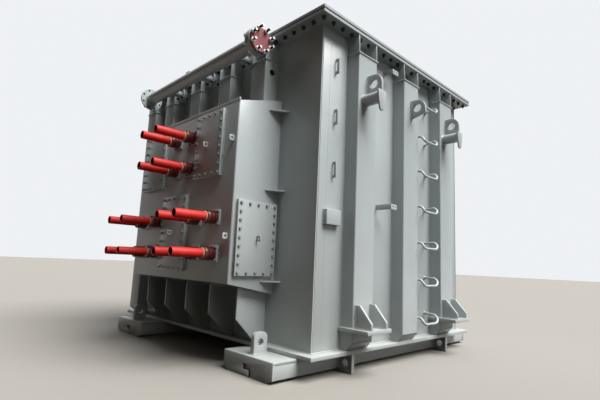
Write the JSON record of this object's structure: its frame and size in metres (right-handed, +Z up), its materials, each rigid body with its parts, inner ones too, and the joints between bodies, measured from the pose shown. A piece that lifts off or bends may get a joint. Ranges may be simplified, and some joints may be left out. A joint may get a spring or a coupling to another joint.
{
  "type": "power transformer",
  "caption": "Steel tank transformer on skids, with wall stiffeners, a bolted cover, a terminal box with tube terminals, a cooling header, lifting trunnions and climbing steps.",
  "frame": {"origin": "on the ground, under the middle of the bounding box", "axes": "+X towards the end with the climbing steps, -Y out of the terminal box's front, +Z up"},
  "size_m": [3.392, 3.234, 2.6891],
  "materials": {
    "grey_paint": "gloss light grey-green paint",
    "terminal_red": "red sleeves and tubes",
    "gasket_rubber": "dark flat gasket",
    "oxide_red": "dark red oxide primer"
  },
  "bodies": {
    "root": {"back_stiffener_1": "grey_paint", "back_stiffener_2": "grey_paint", "back_stiffener_3": "grey_paint", "back_wall": "grey_paint", "cover_gasket": "gasket_rubber", "cover_plate": "grey_paint", "front_cover_1": "grey_paint", "front_cover_2": "grey_paint", "front_cover_3": "grey_paint", "front_stiffener_1": "grey_paint", "front_stiffener_2": "grey_paint", "front_stiffener_3": "grey_paint", "front_stiffener_4": "grey_paint", "front_stiffener_5": "grey_paint", "front_wall": "grey_paint", "header_end_cover": "oxide_red", "header_pipe": "grey_paint", "left_stiffener_1": "grey_paint", "left_stiffener_2": "grey_paint", "left_stiffener_3": "grey_paint", "left_wall": "grey_paint", "lifting_trunnion_left_1": "grey_paint", "lifting_trunnion_left_3": "grey_paint", "lifting_trunnion_right_1": "grey_paint", "lifting_trunnion_right_3": "grey_paint", "right_stiffener_1": "grey_paint", "right_stiffener_2": "grey_paint", "right_stiffener_3": "grey_paint", "right_wall": "grey_paint", "rim_flange": "grey_paint", "side_cover": "grey_paint", "skid_far": "grey_paint", "skid_near": "grey_paint", "tank_bottom_plate": "grey_paint", "terminal_01": "terminal_red", "terminal_02": "terminal_red", "terminal_03": "terminal_red", "terminal_04": "terminal_red", "terminal_05": "terminal_red", "terminal_06": "terminal_red", "terminal_07": "terminal_red", "terminal_08": "terminal_red", "terminal_09": "terminal_red", "terminal_10": "terminal_red", "terminal_11": "terminal_red", "terminal_12": "terminal_red", "terminal_box_floor": "grey_paint", "terminal_box_roof": "grey_paint", "terminal_box_shell": "grey_paint"}
  },
  "joints": []
}
